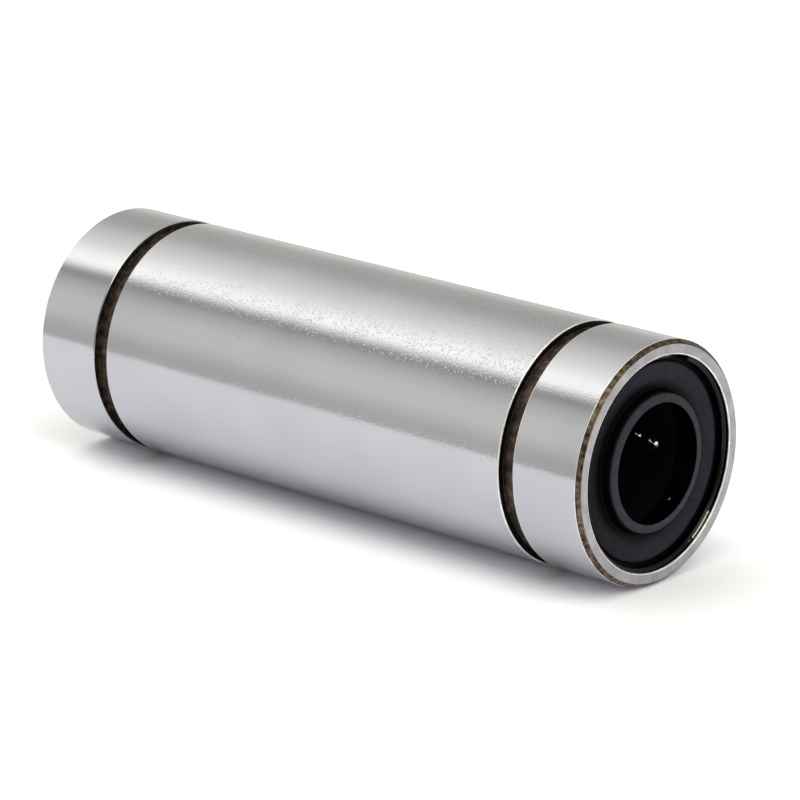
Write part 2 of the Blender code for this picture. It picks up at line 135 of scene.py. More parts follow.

# Beads of oil drawn as painted glints: place along X, angle in degrees from +Y toward
# +Z, radius of the wall that the bead hangs on, radius of the bead
RETAINER_GLINT_BEADS = [
    (18.70 * MM, -7.0, RETAINER_BORE_RADIUS, 0.38 * MM),
    (17.50 * MM, -3.5, RETAINER_BORE_RADIUS, 0.24 * MM),
]
LIP_GLINT_BEAD = (21.0 * MM, -50.0, 3.90 * MM, 0.30 * MM)
# A bead's height in its radii, the power of its fall, the height from which a wall is
# fully wet, and how rough the oil is
BEAD_HEIGHT = 1.2
BEAD_POWER = 1.5
WET_HEIGHT = 0.02 * MM
BEAD_ROUGHNESS = 0.2

# Ball circuits
CIRCUITS = 4
BALL_RADIUS = 0.794 * MM
BALL_PITCH = 1.548 * MM
TURN_RADIUS = 1.548 * MM
BALLS_PER_ROW = 8
BALLS_PER_TURN = 3

# Fineness of the surfaces
TURNED_COLUMNS = 180
ROUNDING_STEPS = 4
STEP_WALL_ANGLE = math.radians(0.15)
WIRE_SIDES = 16
WIRE_STATIONS = 160
BALL_COLUMNS = 12
BALL_ROWS = 8

# Camera at the viewing angle of the photograph
CAMERA_AZIMUTH = math.radians(42.194)
CAMERA_ELEVATION = math.radians(17.277)
CAMERA_DISTANCE = 274.96 * MM
CAMERA_AIM = Vector((1.17, 0.78, -0.67)) * MM
CAMERA_LENS = 199.51
CAMERA_SENSOR = 36.0
CAMERA_NEAR = 10 * MM

# Studio: brightness of the surroundings by the angle about the X axis, in degrees
# from in front (-Y) over the top (+Z) to behind (+Y), below the horizon under 0. The
# mirrored glow is the part that the sleeve shows to the camera: a soft panel in front,
# a dark gap, the strip overhead, which fades towards the back, and a dim back wall
LEFT_GLOW = [(-180, 0.85), (-10, 0.85), (0, 0.8), (180, 0.8)]
MIRRORED_GLOW = [
    (-180, 0.74), (0, 0.76), (17, 1.02), (33, 1.02), (49, 0.77), (57, 0.49), (61, 0.67),
    (70, 1.95), (77, 1.98), (97, 1.38), (129, 0.75), (140, 0.65), (160, 0.65), (177, 0.83),
]
OVERHEAD_GLOW = [
    (-180, 0.4), (-90, 0.4), (-5, 0.24), (40, 0.3), (50, 0.5), (55, 2.2), (82, 2.2), (88, 1.0),
    (98, 0.6), (180, 0.6),
]
RIGHT_GLOW = [
    (-180, 0.4), (-90, 0.4), (-5, 0.28), (40, 0.4), (52, 0.75), (57, 2.5), (88, 2.4), (96, 0.8),
    (180, 0.6),
]
# Each glow with the share of a direction that points along X at which it starts and is full
STUDIO_GLOWS = [
    (LEFT_GLOW, -1.0, -1.0), (MIRRORED_GLOW, -0.86, -0.76), (OVERHEAD_GLOW, -0.45, -0.25),
    (RIGHT_GLOW, 0.25, 0.60),
]
# The ramps hold glows as shares of the scale, and each comes in over at least the step
GLOW_SCALE = 4.0
GLOW_STEP = 0.001
GLOW_COLOUR = "#FFFFF5"
# Share of a direction along Z under which mirrors see the white background
BACKGROUND_TOP = -0.15
FLOOR_LENGTH = 300 * MM
FLOOR_FRONT = -50 * MM
FLOOR_BACK = 45 * MM
FLOOR_COLOUR = "#EEEEF7"
FLOOR_LIFT = 0.35


def linear(hex_code):
    """Linear RGBA of an sRGB colour written as #RRGGBB."""
    parts = np.array([int(hex_code[i:i + 2], 16) for i in (1, 3, 5)]) / 255
    parts = np.where(parts <= 0.04045, parts / 12.92, ((parts + 0.055) / 1.055) ** 2.4)
    return (*map(float, parts), 1.0)


def add(tree, kind, inputs=None, **settings):
    """Add a node with its settings; inputs gives each socket a value or a link."""
    made = tree.nodes.new("ShaderNode" + kind)
    for name, value in settings.items():
        setattr(made, name, value)
    for socket, value in (inputs or {}).items():
        if isinstance(value, bpy.types.NodeSocket):
            tree.links.new(value, made.inputs[socket])
        else:
            made.inputs[socket].default_value = value
    return made


def new_finish(name, **values):
    """Start a material: its Principled shader's own values are set by socket name."""
    material = bpy.data.materials.new(name)
    material.use_nodes = True
    tree = material.node_tree
    shader = tree.nodes["Principled BSDF"]
    for socket, value in values.items():
        shader.inputs[socket.replace("_", " ")].default_value = value
    place = add(tree, "TexCoord").outputs["Object"]
    return material, tree, shader, place


def ground_steel():
    """Bearing steel, through-hardened and centreless ground.

    Bright with a cold cast. The wheel leaves faint streaks round the sleeve and fine
    pits, which sparkle where the reflection is steep, and handling has left a few nicks.
    """
    finish = new_finish("ground_bearing_steel", Metallic=1.0, Roughness=0.11)
    material, tree, shader, place = finish
    # Wheel marks are about 0.03 mm apart, drawn 0.12 mm apart so that they show
    streak_scale = (1 / (0.12 * MM), 1 / (2.5 * MM), 1 / (2.5 * MM))
    streak_place = add(tree, "Mapping", {"Vector": place, "Scale": streak_scale})
    streaks = add(tree, "TexNoise", {
        "Vector": streak_place.outputs[0], "Scale": 1.0, "Detail": 2.0,
    })
    grain_place = add(tree, "Mapping", {"Vector": place, "Scale": (1 / (0.13 * MM),) * 3})
    grain = add(tree, "TexNoise", {"Vector": grain_place.outputs[0], "Scale": 1.0, "Detail": 2.0})
    height = add(tree, "Mix", {
        "Factor": 0.6, "A": streaks.outputs["Fac"], "B": grain.outputs["Fac"],
    })
    # Uneven pits up to 0.12 mm across in cells of 0.15 mm, so shallow that they show
    # where the reflection changes fast. They come in patches of some 5 mm, are deepest
    # on top and towards the front end, and hardly mark the two collars. Noise shifts a
    # place by up to nine tenths of a cell
    pit_place = add(tree, "Mapping", {"Vector": place, "Scale": (1 / (0.15 * MM),) * 3})
    warp = add(tree, "TexNoise", {"Vector": pit_place.outputs[0], "Scale": 1.3, "Detail": 1.0})
    shift = {0: warp.outputs["Color"], 1: (0.9, 0.9, 0.9), 2: pit_place.outputs[0]}
    uneven = add(tree, "VectorMath", shift, operation="MULTIPLY_ADD")
    cells = add(tree, "TexVoronoi", {"Vector": uneven.outputs[0], "Scale": 1.0})
    hollow = add(tree, "MapRange", {
        "Value": cells.outputs["Distance"], "From Max": 0.40, "To Min": 1.0, "To Max": 0.0,
    })
    patch_place = add(tree, "Mapping", {"Vector": place, "Scale": (1 / (5 * MM),) * 3})
    patches = add(tree, "TexNoise", {
        "Vector": patch_place.outputs[0], "Scale": 1.0, "Detail": 1.0,
    })
    luck = add(tree, "SeparateColor", {"Color": cells.outputs["Color"]})
    scarce = add(tree, "Math", {0: patches.outputs["Fac"], 1: 0.75}, operation="MULTIPLY")
    rare = add(tree, "Math", {0: luck.outputs[0], 1: scarce.outputs[0]}, operation="GREATER_THAN")
    axes = add(tree, "SeparateXYZ", {"Vector": place})
    forward = add(tree, "MapRange", {
        "Value": axes.outputs["X"], "From Min": -0.7 * HALF_LENGTH, "From Max": 0.1 * HALF_LENGTH,
        "To Min": 0.45,
    })
    upper = add(tree, "MapRange", {
        "Value": axes.outputs["Z"], "From Min": 0.60 * OUTER_RADIUS,
        "From Max": 0.69 * OUTER_RADIUS, "To Min": 0.25,
    })
    collar = add(tree, "Math", {0: axes.outputs["X"]}, operation="ABSOLUTE")
    coarse = add(tree, "MapRange", {
        "Value": collar.outputs[0], "From Min": HALF_LENGTH - COLLAR_WIDTH - GROOVE_WIDTH,
        "From Max": HALF_LENGTH - COLLAR_WIDTH, "To Min": 1.0, "To Max": 0.25,
    })
    depth = add(tree, "Math", {0: rare.outputs[0], 1: coarse.outputs[0]}, operation="MULTIPLY")
    for share in (forward, upper, hollow):
        depth = add(tree, "Math", {0: depth.outputs[0], 1: share.outputs[0]}, operation="MULTIPLY")
    # A few nicks up to 0.24 mm across, where the point of a 4 mm cell lies at the surface
    nick_place = add(tree, "Mapping", {"Vector": place, "Scale": (1 / (4 * MM),) * 3})
    nick_cells = add(tree, "TexVoronoi", {"Vector": nick_place.outputs[0], "Scale": 1.0})
    nicks = add(tree, "MapRange", {"Value": nick_cells.outputs["Distance"], "From Max": 0.03})
    # Slow waves of the ground surface, about 6 mm long
    wave_place = add(tree, "Mapping", {"Vector": place, "Scale": (1 / (6 * MM),) * 3})
    waves = add(tree, "TexNoise", {"Vector": wave_place.outputs[0], "Scale": 1.0, "Detail": 1.0})
    fine = add(tree, "Bump", {
        "Height": height.outputs[0], "Strength": 1.0, "Distance": 0.006 * MM,
    })
    pitted = add(tree, "Bump", {
        "Height": depth.outputs[0], "Strength": 1.0, "Distance": 0.013 * MM,
        "Normal": fine.outputs[0],
    }, invert=True)
    dented = add(tree, "Bump", {
        "Height": nicks.outputs[0], "Strength": 1.0, "Distance": 0.04 * MM,
        "Normal": pitted.outputs[0],
    })
    broad = add(tree, "Bump", {
        "Height": waves.outputs["Fac"], "Strength": 1.0, "Distance": 0.04 * MM,
        "Normal": dented.outputs[0],
    })
    tree.links.new(broad.outputs[0], shader.inputs["Normal"])
    tone = add(tree, "ValToRGB", {"Fac": waves.outputs["Fac"]})
    tone.color_ramp.elements[0].position = 0.35
    tone.color_ramp.elements[0].color = linear("#B3B4BB")
    tone.color_ramp.elements[1].position = 0.65
    tone.color_ramp.elements[1].color = linear("#B8B9BF")
    tree.links.new(tone.outputs[0], shader.inputs["Base Color"])
    return material


def mottled(name, dark, middle, light, patch, roughness, metallic, bump):
    """Turned steel with the patchy oxide of heat treatment in three colours.

    patch is the size of a colour patch and bump the height of its roughness.
    """
    material, tree, shader, place = new_finish(name, Metallic=metallic, Roughness=roughness)
    patch_place = add(tree, "Mapping", {"Vector": place, "Scale": (1 / patch,) * 3})
    patches = add(tree, "TexNoise", {
        "Vector": patch_place.outputs[0], "Scale": 1.0, "Detail": 4.0, "Roughness": 0.65,
    })
    ramp = add(tree, "ValToRGB", {"Fac": patches.outputs["Fac"]})
    ramp.color_ramp.elements[0].position = 0.36
    ramp.color_ramp.elements[0].color = linear(dark)
    ramp.color_ramp.elements[1].position = 0.64
    ramp.color_ramp.elements[1].color = linear(light)
    ramp.color_ramp.elements.new(0.5).color = linear(middle)
    tree.links.new(ramp.outputs[0], shader.inputs["Base Color"])
    # Tool marks, 0.1 mm apart along X and drawn out to 1 mm across it
    mark_scale = (1 / (0.1 * MM), 1 / (1 * MM), 1 / (1 * MM))
    mark_place = add(tree, "Mapping", {"Vector": place, "Scale": mark_scale})
    marks = add(tree, "TexNoise", {"Vector": mark_place.outputs[0], "Scale": 1.0, "Detail": 2.0})
    relief = add(tree, "Bump", {"Height": marks.outputs["Fac"], "Strength": 1.0, "Distance": bump})
    tree.links.new(relief.outputs[0], shader.inputs["Normal"])
    return material


def faced_steel():
    """End face, turned flat and left grey: cloudy, and scratches fan out from the bore."""
    material, tree, shader, place = new_finish("faced_end_steel", Metallic=1.0, Roughness=0.34)
    cloud_place = add(tree, "Mapping", {"Vector": place, "Scale": (1 / (1.2 * MM),) * 3})
    clouds = add(tree, "TexNoise", {
        "Vector": cloud_place.outputs[0], "Scale": 1.0, "Detail": 5.0, "Roughness": 0.7,
    })
    ramp = add(tree, "ValToRGB", {"Fac": clouds.outputs["Fac"]})
    ramp.color_ramp.elements[0].position = 0.3
    ramp.color_ramp.elements[0].color = linear("#8E8C91")
    ramp.color_ramp.elements[1].position = 0.7
    ramp.color_ramp.elements[1].color = linear("#B6B3B9")
    tree.links.new(ramp.outputs[0], shader.inputs["Base Color"])
    axes = add(tree, "SeparateXYZ", {"Vector": place})
    angle = add(tree, "Math", {0: axes.outputs["Z"], 1: axes.outputs["Y"]}, operation="ARCTAN2")
    # A scratch is about 0.1 mm wide at the rim, so there are some 470 round it
    scratch_count = {0: angle.outputs[0], 1: OUTER_RADIUS / (0.1 * MM)}
    counted = add(tree, "Math", scratch_count, operation="MULTIPLY")
    scratch_place = add(tree, "CombineXYZ", {"X": counted.outputs[0]})
    scratches = add(tree, "TexNoise", {
        "Vector": scratch_place.outputs[0], "Scale": 1.0, "Detail": 2.0,
    })
    relief = add(tree, "Bump", {
        "Height": scratches.outputs["Fac"], "Strength": 1.0, "Distance": 0.004 * MM,
    })
    tree.links.new(relief.outputs[0], shader.inputs["Normal"])
    return material


def edge_highlight_steel():
    """Broken edge of a turned corner, drawn near white as a painted highlight line; it is rough
    and scatters the light.
    """
    material, tree, shader, place = new_finish("edge_steel_painted_highlight", Metallic=1.0, Roughness=0.5)
    edge_noise_place = add(tree, "Mapping", {"Vector": place, "Scale": (1 / (0.8 * MM),) * 3})
    edge_noise = add(tree, "TexNoise", {"Vector": edge_noise_place.outputs[0], "Scale": 1.0, "Detail": 3.0})
    ramp = add(tree, "ValToRGB", {"Fac": edge_noise.outputs["Fac"]})
    ramp.color_ramp.elements[0].position = 0.3
    ramp.color_ramp.elements[0].color = linear("#D8D4CC")
    ramp.color_ramp.elements[1].position = 0.6
    ramp.color_ramp.elements[1].color = linear("#FFFEFC")
    tree.links.new(ramp.outputs[0], shader.inputs["Base Color"])
    return material


def bore_steel():
    """Inside of the sleeve: ground raceways with a film of oil, darker than outside."""
    material, tree, shader, place = new_finish("oiled_raceway_steel", Metallic=1.0, Roughness=0.25)
    cloud_place = add(tree, "Mapping", {"Vector": place, "Scale": (1 / (1.5 * MM),) * 3})
    clouds = add(tree, "TexNoise", {"Vector": cloud_place.outputs[0], "Scale": 1.0, "Detail": 3.0})
    ramp = add(tree, "ValToRGB", {"Fac": clouds.outputs["Fac"]})
    ramp.color_ramp.elements[0].color = linear("#4A4642")
    ramp.color_ramp.elements[1].color = linear("#77736E")
    tree.links.new(ramp.outputs[0], shader.inputs["Base Color"])
    return material


def seal_rubber():
    """Moulded nitrile rubber: black with a violet cast, matt, with a fine skin.

    The raised lip is a little lighter. The valley round it and the outer edge by the rim
    are painted near black as shade, and the face is darkened towards -Y as painted shade.
    The place is read from the radius about X, which fine noise frays a little.
    """
    finish = new_finish("moulded_nitrile_rubber", Roughness=0.5, Specular_IOR_Level=0.05)
    material, tree, shader, place = finish
    dust_place = add(tree, "Mapping", {"Vector": place, "Scale": (1 / (0.5 * MM),) * 3})
    dust = add(tree, "TexNoise", {
        "Vector": dust_place.outputs[0], "Scale": 1.0, "Detail": 5.0, "Roughness": 0.7,
    })
    flat_scale = (0.0, 1 / SEAL_RADIUS, 1 / SEAL_RADIUS)
    flat_place = add(tree, "Mapping", {"Vector": place, "Scale": flat_scale})
    reach = add(tree, "VectorMath", {0: flat_place.outputs[0]}, operation="LENGTH")
    radius = reach.outputs["Value"]
    fray = {0: dust.outputs["Fac"], 1: RUBBER_FRAY, 2: radius}
    frayed = add(tree, "Math", fray, operation="MULTIPLY_ADD")
    ramp = add(tree, "ValToRGB", {"Fac": frayed.outputs[0]})
    elements = ramp.color_ramp.elements
    while len(elements) < len(RUBBER_TONES_AND_SHADE):
        elements.new(0.5)
    for element, (radius_mm, tone) in zip(elements, RUBBER_TONES_AND_SHADE):
        element.position = radius_mm * MM / SEAL_RADIUS + RUBBER_FRAY / 2
        element.color = linear(tone)
    # The painted shade thins out along Y from about -0.8 of the seal's radius to its middle,
    # with a ragged edge, and lies on the face only, outside 0.66 to 0.72 of that radius
    axes = add(tree, "SeparateXYZ", {"Vector": flat_place.outputs[0]})
    ragged = {0: dust.outputs["Fac"], 1: 0.3, 2: axes.outputs["Y"]}
    side = add(tree, "Math", ragged, operation="MULTIPLY_ADD")
    painted_shade = add(tree, "MapRange", {
        "Value": side.outputs[0], "From Min": -0.65, "From Max": 0.15, "To Min": 0.35,
    })
    dished = add(tree, "MapRange", {"Value": radius, "From Min": 0.66, "From Max": 0.72})
    face_shade = add(tree, "Mix", {"Factor": dished.outputs[0], "A": 1.0, "B": painted_shade.outputs[0]})
    shade = add(tree, "MapRange", {
        "Value": dust.outputs["Fac"], "From Min": 0.3, "From Max": 0.7,
        "To Min": 0.8, "To Max": 1.2,
    })
    both = add(tree, "Math", {0: shade.outputs[0], 1: face_shade.outputs[0]}, operation="MULTIPLY")
    toned = add(tree, "VectorMath", {0: ramp.outputs[0], 1: both.outputs[0]}, operation="MULTIPLY")
    tree.links.new(toned.outputs[0], shader.inputs["Base Color"])
    relief = add(tree, "Bump", {
        "Height": dust.outputs["Fac"], "Strength": 1.0, "Distance": 0.008 * MM,
    })
    tree.links.new(relief.outputs[0], shader.inputs["Normal"])
    return material


def hang_glint_beads(finish, tone, relief, spots, glint, roughness):
    """Hang beads of oil on a wall that has the socket tone's colour and relief's normal.

    A spot is (place along X, angle from +Y toward +Z, radius of the wall, radius of the
    bead). A bead is a steep drop: its height is BEAD_HEIGHT radii times
    1 - (distance / radius) to the power BEAD_POWER. It is a painted glint: drawn in the
    colour glint, metallic and as bright as steel, because the lamps that oil mirrors are
    far smaller and brighter than the soft glow here. roughness is that of the dry wall.
    """
    tree, shader, place = finish[1:]
    height = 0.0
    for x, degrees, wall, size in spots:
        angle = math.radians(degrees)
        middle = (x, wall * math.cos(angle), wall * math.sin(angle))
        apart = add(tree, "VectorMath", {0: place, 1: middle}, operation="DISTANCE")
        share = add(tree, "MapRange", {"Value": apart.outputs["Value"], "From Max": size})
        fall = add(tree, "Math", {0: share.outputs[0], 1: BEAD_POWER}, operation="POWER")
        rise = add(tree, "Math", {0: 1.0, 1: fall.outputs[0]}, operation="SUBTRACT")
        tall = add(tree, "Math", {0: rise.outputs[0], 1: size}, operation="MULTIPLY")
        highest = add(tree, "Math", {0: height, 1: tall.outputs[0]}, operation="MAXIMUM")
        height = highest.outputs[0]
    wet = add(tree, "MapRange", {"Value": height, "From Max": WET_HEIGHT}).outputs[0]
    # Painted glint: the bead's colour and metallic come from glint
    lit = {0: linear(glint)[:3], 1: wet, 2: tone}
    bright = add(tree, "VectorMath", lit, operation="MULTIPLY_ADD")
    tree.links.new(bright.outputs[0], shader.inputs["Base Color"])
    tree.links.new(wet, shader.inputs["Metallic"])
    gloss = add(tree, "MapRange", {"Value": wet, "To Min": roughness, "To Max": BEAD_ROUGHNESS})
    tree.links.new(gloss.outputs[0], shader.inputs["Roughness"])
    domed = add(tree, "Bump", {
        "Height": height, "Strength": 1.0, "Distance": BEAD_HEIGHT, "Normal": relief,
    })
    tree.links.new(domed.outputs[0], shader.inputs["Normal"])


def shaded_lip_rubber():
    """Inside of the lip: rubber painted nearly black as shade, wet with oil, with one bead of it
    drawn as a painted glint.
    """
    finish = new_finish("lip_inside_rubber_painted_shade", Specular_IOR_Level=0.03)
    material, tree, _, place = finish
    film_place = add(tree, "Mapping", {"Vector": place, "Scale": (1 / (0.6 * MM),) * 3})
    film = add(tree, "TexNoise", {"Vector": film_place.outputs[0], "Scale": 1.0, "Detail": 3.0})
    # Painted shade: the inside of the lip is drawn near black
    ramp = add(tree, "ValToRGB", {"Fac": film.outputs["Fac"]})
    ramp.color_ramp.elements[0].color = linear("#010101")
    ramp.color_ramp.elements[1].color = linear("#030304")
    relief = add(tree, "Bump", {
        "Height": film.outputs["Fac"], "Strength": 1.0, "Distance": 0.004 * MM,
    })
    hang_glint_beads(finish, ramp.outputs[0], relief.outputs[0], [LIP_GLINT_BEAD], "#505052", 0.4)
    return material


def spring_wire():
    """Oil-tempered spring wire: nearly black, with a painted highlight low on one side.

    The highlighted stretch is read from the angle about X, and noise frays its ends.
    """
    finish = new_finish("oil_tempered_spring_wire", Metallic=1.0, Roughness=0.18)
    material, tree, shader, place = finish
    cloud_place = add(tree, "Mapping", {"Vector": place, "Scale": (1 / (0.4 * MM),) * 3})
    clouds = add(tree, "TexNoise", {"Vector": cloud_place.outputs[0], "Scale": 1.0, "Detail": 3.0})
    axes = add(tree, "SeparateXYZ", {"Vector": place})
    angle = add(tree, "Math", {0: axes.outputs["Z"], 1: axes.outputs["Y"]}, operation="ARCTAN2")
    off = add(tree, "Math", {0: angle.outputs[0], 1: GLINT_ANGLE}, operation="SUBTRACT")
    apart = add(tree, "Math", {0: off.outputs[0]}, operation="ABSOLUTE")
    # The noise adds 0.6 of its value, about 0.3 radians, so the fade stands 0.22 to 0.30
    # past the half angle
    ragged = {0: clouds.outputs["Fac"], 1: 0.6, 2: apart.outputs[0]}
    frayed = add(tree, "Math", ragged, operation="MULTIPLY_ADD")
    glint_share = add(tree, "MapRange", {
        "Value": frayed.outputs[0], "From Min": GLINT_HALF_ANGLE + 0.22,
        "From Max": GLINT_HALF_ANGLE + 0.30, "To Min": 1.0, "To Max": 0.0,
    })
    # The painted highlight stays off the side of the wire towards the axis
    flat_place = add(tree, "Mapping", {"Vector": place, "Scale": (0.0, 1.0, 1.0)})
    radius = add(tree, "VectorMath", {0: flat_place.outputs[0]}, operation="LENGTH")
    outer = add(tree, "MapRange", {
        "Value": radius.outputs["Value"], "From Min": RING_RADIUS - 0.14 * MM,
        "From Max": RING_RADIUS - 0.08 * MM,
    })
    painted_glint = add(tree, "Math", {0: glint_share.outputs[0], 1: outer.outputs[0]}, operation="MULTIPLY")
    # Painted highlight: the stretch is drawn near white on the dark wire
    ramp = add(tree, "ValToRGB", {"Fac": painted_glint.outputs[0]})
    ramp.color_ramp.elements[0].color = linear("#262423")
    ramp.color_ramp.elements[1].color = linear("#F2EEE8")
    tree.links.new(ramp.outputs[0], shader.inputs["Base Color"])
    relief = add(tree, "Bump", {
        "Height": clouds.outputs["Fac"], "Strength": 1.0, "Distance": 0.006 * MM,
    })
    tree.links.new(relief.outputs[0], shader.inputs["Normal"])
    return material


def retainer_resin():
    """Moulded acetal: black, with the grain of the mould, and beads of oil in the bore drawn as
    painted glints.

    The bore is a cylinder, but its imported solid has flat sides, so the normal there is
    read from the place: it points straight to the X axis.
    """
    finish = new_finish("moulded_black_acetal")
    material, tree, _, place = finish
    grain_place = add(tree, "Mapping", {"Vector": place, "Scale": (1 / (0.3 * MM),) * 3})
    grain = add(tree, "TexNoise", {"Vector": grain_place.outputs[0], "Scale": 1.0, "Detail": 3.0})
    ramp = add(tree, "ValToRGB", {"Fac": grain.outputs["Fac"]})
    ramp.color_ramp.elements[0].color = linear("#040405")
    ramp.color_ramp.elements[1].color = linear("#0C0C0D")
    from_axis = add(tree, "VectorMath", {0: place, 1: (0.0, 1.0, 1.0)}, operation="MULTIPLY")
    radius = add(tree, "VectorMath", {0: from_axis.outputs[0]}, operation="LENGTH")
    to_axis = add(tree, "VectorMath", {0: from_axis.outputs[0], "Scale": -1.0}, operation="SCALE")
    inward = add(
        tree, "VectorTransform", {"Vector": to_axis.outputs[0]},
        vector_type="NORMAL", convert_from="OBJECT", convert_to="WORLD",
    )
    flat = add(tree, "NewGeometry").outputs["Normal"]
    near = {0: radius.outputs["Value"], 1: RETAINER_BORE_RADIUS + BORE_MARGIN}
    in_bore = add(tree, "Math", near, operation="LESS_THAN")
    # This node mixes vectors between its sockets 4 and 5, and output 1 gives the vector
    sides = {"Factor": in_bore.outputs[0], 4: flat, 5: inward.outputs[0]}
    facing = add(tree, "Mix", sides, data_type="VECTOR")
    round_wall = add(tree, "VectorMath", {0: facing.outputs[1]}, operation="NORMALIZE")
    relief = add(tree, "Bump", {
        "Height": grain.outputs["Fac"], "Strength": 1.0, "Distance": 0.005 * MM,
        "Normal": round_wall.outputs[0],
    })
    hang_glint_beads(finish, ramp.outputs[0], relief.outputs[0], RETAINER_GLINT_BEADS, "#F0F0F2", 0.42)
    return material


def stamped_steel():
    """Stamped strip steel of the seal's stiffener: dull, with rolling marks along Z."""
    material, tree, shader, place = new_finish("stamped_strip_steel", Metallic=1.0, Roughness=0.4)
    roll_scale = (1 / (0.5 * MM), 1 / (0.1 * MM), 1 / (2 * MM))
    roll_place = add(tree, "Mapping", {"Vector": place, "Scale": roll_scale})
    rolls = add(tree, "TexNoise", {"Vector": roll_place.outputs[0], "Scale": 1.0, "Detail": 2.0})
    ramp = add(tree, "ValToRGB", {"Fac": rolls.outputs["Fac"]})
    ramp.color_ramp.elements[0].color = linear("#8E8E90")
    ramp.color_ramp.elements[1].color = linear("#B0B0B2")
    tree.links.new(ramp.outputs[0], shader.inputs["Base Color"])
    return material


def ball_steel():
    """Lapped chrome-steel balls: mirror bright under a trace of oil."""
    material, tree, shader, place = new_finish("lapped_ball_steel", Metallic=1.0, Roughness=0.06)
    film_place = add(tree, "Mapping", {"Vector": place, "Scale": (1 / (0.8 * MM),) * 3})
    film = add(tree, "TexNoise", {"Vector": film_place.outputs[0], "Scale": 1.0, "Detail": 1.0})
    ramp = add(tree, "ValToRGB", {"Fac": film.outputs["Fac"]})
    ramp.color_ramp.elements[0].color = linear("#C2C2C4")
    ramp.color_ramp.elements[1].color = linear("#D6D6D8")
    tree.links.new(ramp.outputs[0], shader.inputs["Base Color"])
    return material


def rounded(corners):
    """Points and outward normals of a closed outline whose corners are rounded.

    A corner is (x, r, radius). The path turns there by the angle a, from heading h to
    h + a. The arc starts radius * tan(a / 2) before the corner, its centre lies one
    radius to the side of the turn, and its points are at even shares of a. The solid
    lies to the left of the path, so the outward normal points right of the heading.
    """
    data = np.array(corners, float)
    place, radius = data[:, :2], data[:, 2]
    along = np.roll(place, -1, 0) - place
    heading = np.arctan2(along[:, 1], along[:, 0])
    before = np.roll(heading, 1)
    turn = (heading - before + np.pi) % (2 * np.pi) - np.pi
    side = np.sign(turn)
    reach = radius * np.tan(np.abs(turn) / 2)
    start = place - reach[:, None] * np.stack([np.cos(before), np.sin(before)], 1)
    left = np.stack([-np.sin(before), np.cos(before)], 1)
    centre = start + (side * radius)[:, None] * left
    share = np.linspace(0, 1, ROUNDING_STEPS + 1)
    angle = before[:, None] + turn[:, None] * share[None, :]
    normal = np.stack([np.sin(angle), -np.cos(angle)], 2)
    points = centre[:, None, :] + (side * radius)[:, None, None] * normal
    return points.reshape(-1, 2), normal.reshape(-1, 2)


def grid_faces(rows, columns, close_rows, close_columns):
    """Quads of a grid of rows x columns vertices, as an array of four indices each."""
    row = np.arange(rows if close_rows else rows - 1)
    column = np.arange(columns if close_columns else columns - 1)
    r, c = np.meshgrid(row, column, indexing="ij")
    r1, c1 = (r + 1) % rows, (c + 1) % columns
    corners = [r * columns + c, r1 * columns + c, r1 * columns + c1, r * columns + c1]
    return np.stack(corners, -1).reshape(-1, 4)


def new_piece(name, vertices, faces, normals=None, finishes=(), finish_of_face=None):
    """Make a mesh object from arrays, smooth-shaded, at the origin."""
    mesh = bpy.data.meshes.new(name)
    mesh.from_pydata(vertices.reshape(-1, 3).tolist(), [], [list(face) for face in faces])
    for finish in finishes:
        mesh.materials.append(finish)
    if finish_of_face is not None:
        mesh.polygons.foreach_set("material_index", np.asarray(finish_of_face, np.int32))
    mesh.shade_smooth()
    if normals is not None:
        mesh.normals_split_custom_set_from_vertices(normals.reshape(-1, 3).tolist())
    mesh.update()
    piece = bpy.data.objects.new(name, mesh)
    bpy.context.scene.collection.objects.link(piece)
    return piece


def turned_piece(name, outlines, angles, pick, finishes, finish_of_corner):
    """Carry an outline round the X axis: (x, r) goes to (x, r cos angle, r sin angle).

    outlines holds one or more outlines with as many points each, and pick says for
    each angle which of them stands there. finish_of_corner has a row for each corner:
    the finish of its rounding and of the stretch that follows it.
    """
    points = np.stack([rounded(outline)[0] for outline in outlines])[pick]
    normals = np.stack([rounded(outline)[1] for outline in outlines])[pick]
    spin = np.stack([np.cos(angles), np.sin(angles)], 1)[:, None, :]
    vertices = np.concatenate([points[:, :, :1], points[:, :, 1:] * spin], 2).swapaxes(0, 1)
    directions = np.concatenate([normals[:, :, :1], normals[:, :, 1:] * spin], 2).swapaxes(0, 1)
    rows, columns = vertices.shape[:2]
    faces = grid_faces(rows, columns, True, True)
    rounding, stretch = np.array(finish_of_corner).T[:, :, None]
    finish = np.concatenate([np.repeat(rounding, ROUNDING_STEPS, 1), stretch], 1)
    finish = np.repeat(finish.ravel(), columns)
    return new_piece(name, vertices, faces, directions, finishes, finish)


def even_angles(count):
    """Angles at even steps round a full turn."""
    return np.arange(count) * (2 * np.pi / count)


def flip_end(outline):
    """The same outline stretch at the other end, in the opposite order."""
    return [(-x, *rest) for x, *rest in reversed(outline)]


